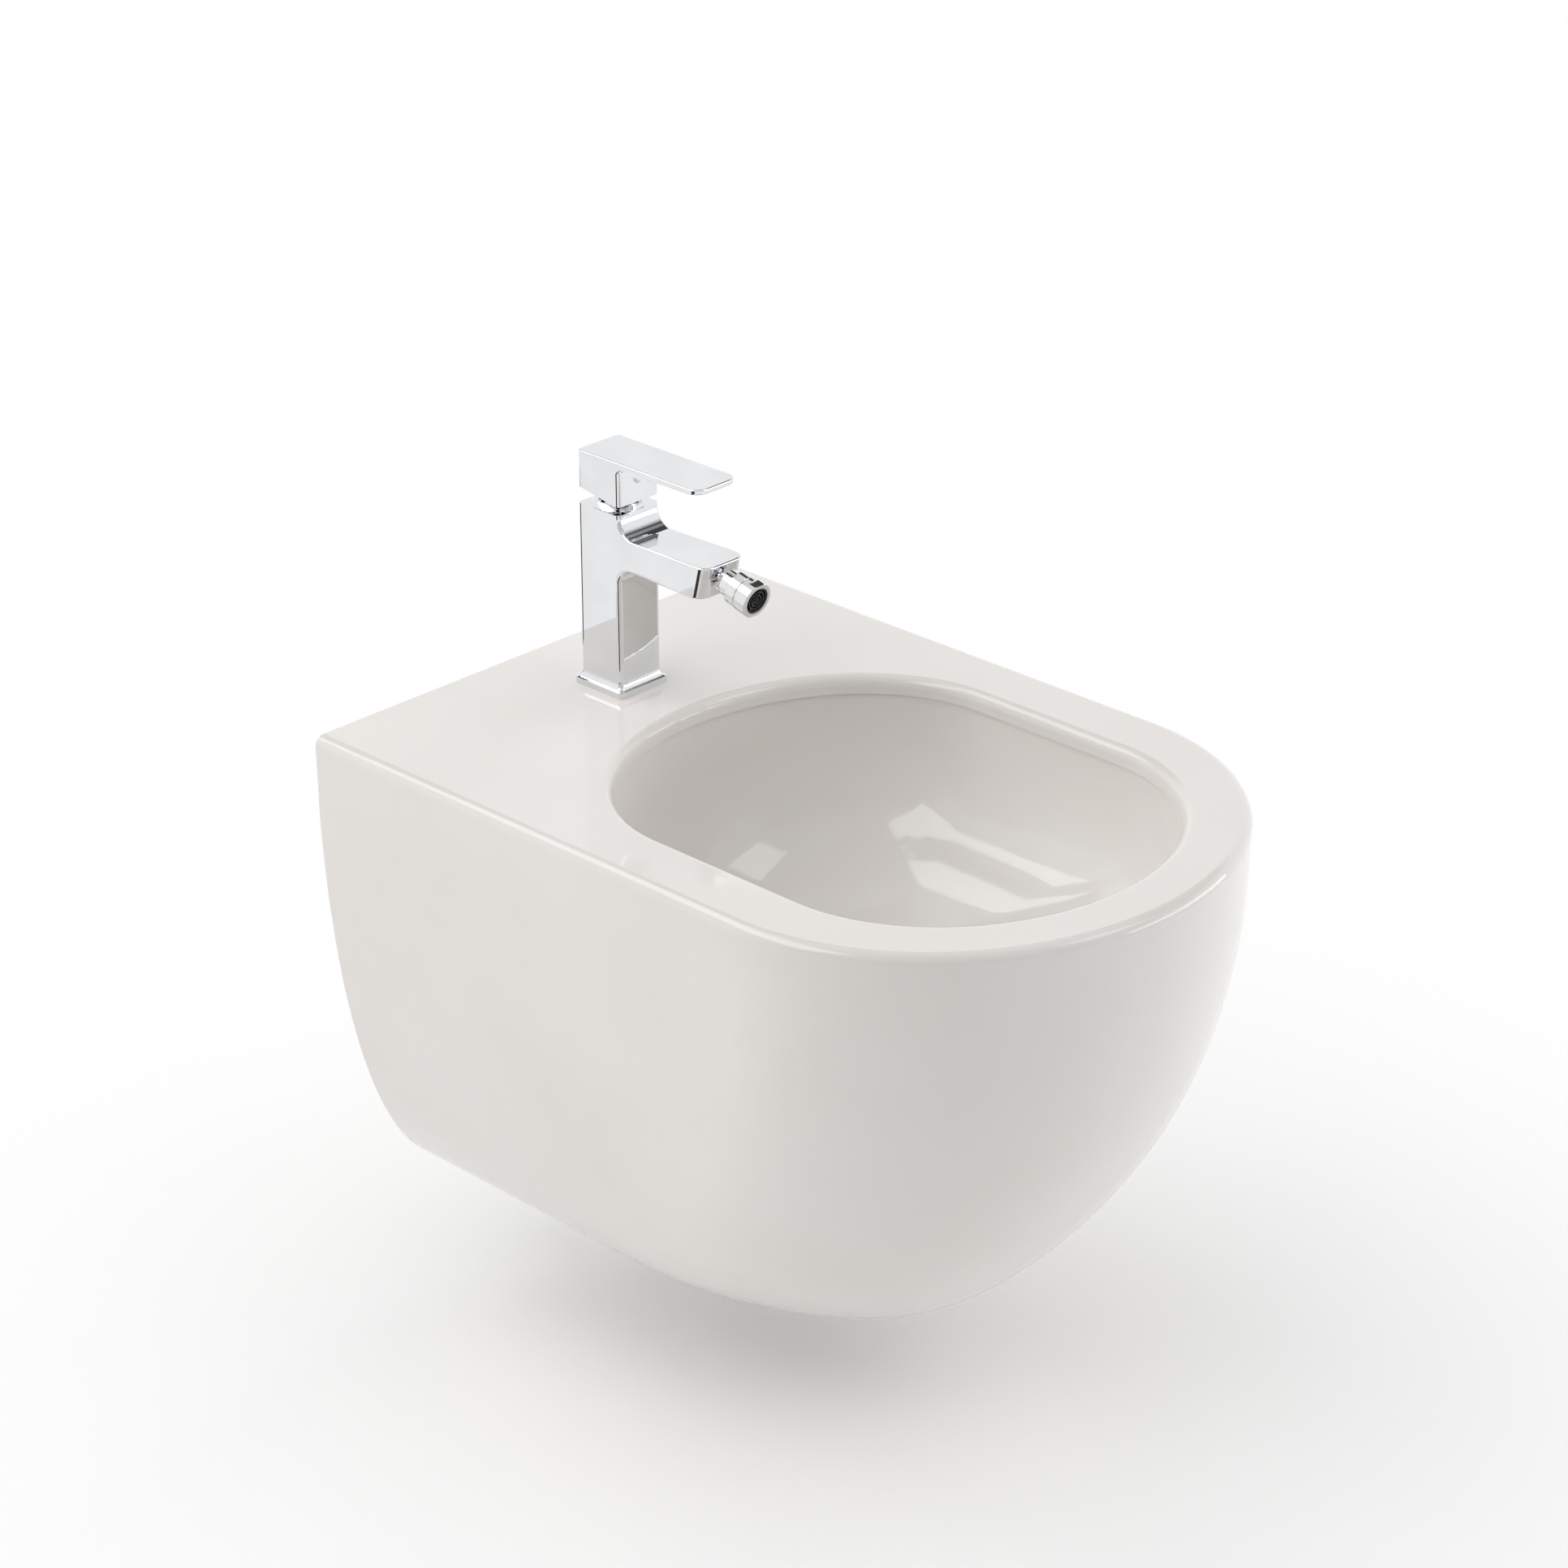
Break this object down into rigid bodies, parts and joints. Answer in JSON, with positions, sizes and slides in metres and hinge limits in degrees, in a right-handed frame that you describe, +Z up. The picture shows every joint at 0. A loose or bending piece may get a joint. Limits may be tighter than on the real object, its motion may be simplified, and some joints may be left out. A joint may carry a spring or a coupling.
{
  "type": "wall-hung bidet",
  "caption": "Wall-hung D-shaped ceramic bidet with an open basin, a square single-lever chrome mixer with a ball-jointed nozzle, and a push-to-close waste.",
  "frame": {"origin": "on the wall plane, midway between the two wall bolts", "axes": "+Z up, +Y into the wall, +X to the right of a person facing the wall"},
  "size_m": [0.3594, 0.4997, 0.4716],
  "materials": {
    "glazed_china": "warm white glossy glaze",
    "chrome_plate": "mirror chrome plate",
    "zinc_steel": "bright zinc-plated steel",
    "turned_brass": "turned brass",
    "black_rubber": "matt black rubber",
    "white_nylon": "natural white moulded plastic",
    "black_acetal": "black moulded plastic",
    "alumina": "lapped alumina"
  },
  "bodies": {
    "bidet": {"china_deck": "glazed_china", "china_back": "glazed_china", "china_left_rim": "glazed_china", "china_right_rim": "glazed_china", "china_left_shell": "glazed_china", "china_right_shell": "glazed_china", "china_left_bowl_back": "glazed_china", "china_left_bowl_front": "glazed_china", "china_right_bowl_back": "glazed_china", "china_right_bowl_front": "glazed_china", "fixing_sleeves": "white_nylon", "fixing_washers": "zinc_steel", "fixing_nuts": "zinc_steel", "mixer_body": "chrome_plate", "base_seal": "black_rubber", "mounting_stud": "turned_brass", "clamp_gasket": "black_rubber", "clamp_plate": "zinc_steel", "stud_nut": "turned_brass", "cartridge_seal": "black_rubber", "cartridge_base": "white_nylon", "fixed_disc": "alumina", "cartridge_housing": "white_nylon", "cartridge_nut": "turned_brass", "dome_collar": "chrome_plate", "ball_stem": "chrome_plate", "waste_body": "chrome_plate", "flange_gasket": "black_rubber", "under_gasket": "black_rubber", "friction_washer": "white_nylon", "back_nut": "turned_brass", "push_housing": "black_acetal", "push_cap": "black_acetal", "return_spring": "zinc_steel"},
    "mixing_guide": {"spindle_guide": "white_nylon", "pivot_pin": "zinc_steel"},
    "handle": {"lever_handle": "chrome_plate", "lever_spindle": "turned_brass", "handle_screw": "zinc_steel", "handle_cap": "chrome_plate"},
    "mixing_disc": {"moving_disc": "alumina", "disc_carrier": "white_nylon"},
    "ball_seat_ring": {"ball_seat": "white_nylon"},
    "ball_seal_ring": {"ball_seal": "black_rubber"},
    "nozzle": {"swivel_cap": "chrome_plate", "swivel_body": "chrome_plate", "aerator_housing": "chrome_plate", "aerator_gasket": "black_rubber", "aerator_insert": "black_acetal"},
    "plug": {"waste_plug": "chrome_plate", "plug_seal": "black_rubber", "push_plunger": "turned_brass"}
  },
  "joints": [
    {"name": "handle_turn", "type": "hinge", "parent": "bidet", "child": "mixing_guide", "pos_m": [0, -0.072, 0.1855], "axis": [0, 0, 1], "range_deg": [-50, 50]},
    {"name": "handle_lift", "type": "hinge", "parent": "mixing_guide", "child": "handle", "pos_m": [0, -0.072, 0.1855], "axis": [-1, 0, 0], "range_deg": [0, 22]},
    {"name": "disc_slide", "type": "slide", "parent": "mixing_guide", "child": "mixing_disc", "axis": [0, -1, 0], "range_m": [0, 0.00432]},
    {"name": "nozzle_swing", "type": "hinge", "parent": "bidet", "child": "ball_seat_ring", "pos_m": [0, -0.16692, 0.17034], "axis": [0, -0.225, 0.9744], "range_deg": [-15, 15]},
    {"name": "nozzle_tilt", "type": "hinge", "parent": "ball_seat_ring", "child": "ball_seal_ring", "pos_m": [0, -0.16692, 0.17034], "axis": [1, 0, 0], "range_deg": [-15, 15]},
    {"name": "nozzle_spin", "type": "hinge", "parent": "ball_seal_ring", "child": "nozzle", "pos_m": [0, -0.16692, 0.17034], "axis": [0, -0.9744, -0.225], "continuous": true},
    {"name": "plug_press", "type": "slide", "parent": "bidet", "child": "plug", "axis": [0, 0, -1], "range_m": [0, 0.007], "stiffness_N_per_m": 400, "springref_m": -0.004, "deforming": ["return_spring"]}
  ],
  "couplings": [
    {"joint": "disc_slide", "follows": "handle_lift", "m_per_rad": 0.011219}
  ]
}
